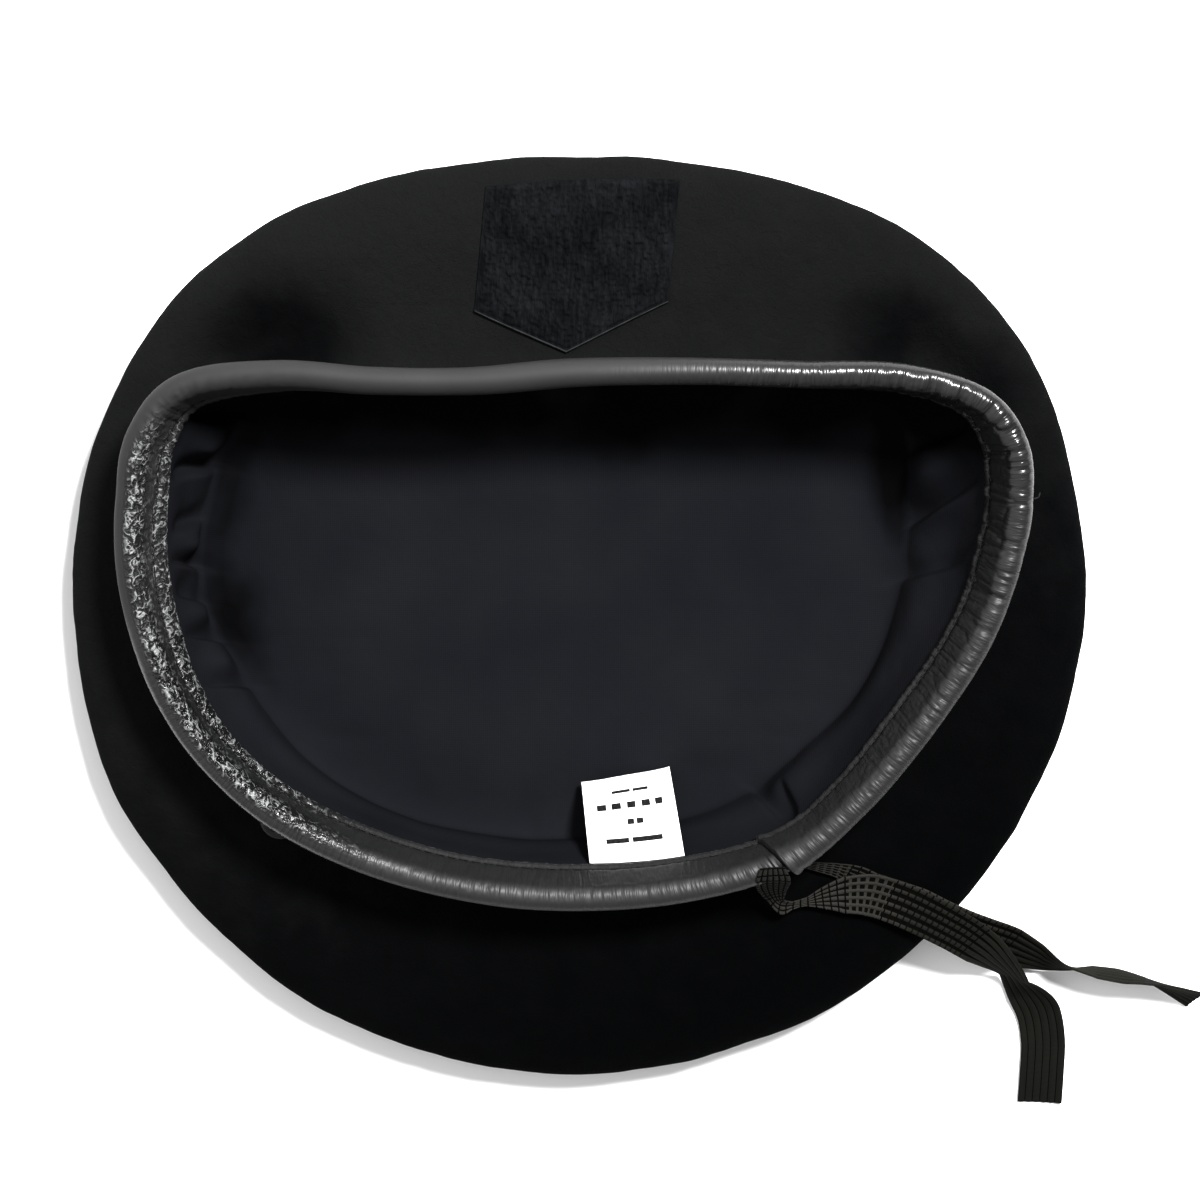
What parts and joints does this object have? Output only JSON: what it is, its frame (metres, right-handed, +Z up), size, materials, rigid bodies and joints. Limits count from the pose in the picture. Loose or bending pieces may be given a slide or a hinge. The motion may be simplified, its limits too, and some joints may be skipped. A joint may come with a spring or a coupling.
{
  "type": "military beret",
  "caption": "Black felted wool beret lying on its crown, open side up, with a rolled leather binding, cloth lining, loose drawstring tapes and a pile panel.",
  "frame": {"origin": "On the surface that the beret lies on, under the middle of the wool crown's box.", "axes": "+Z up out of the opening, -Y towards the front of the beret with its pile panel, and +X to the side away from the tapes."},
  "size_m": [0.3013, 0.2593, 0.0465],
  "materials": {
    "wool": "matte felted wool",
    "lining": "smooth woven lining",
    "leather": "semi-gloss wrinkled",
    "pile": "matte looped pile",
    "label": "smooth woven tape",
    "eyelet": "satin black",
    "tape": "ribbed open weave"
  },
  "bodies": {
    "root": {"crown": "wool", "lining": "lining", "binding": "leather", "pile_panel": "pile", "label": "label", "eyelet": "eyelet", "ribbon_over": "tape", "ribbon_under": "tape"}
  },
  "joints": []
}
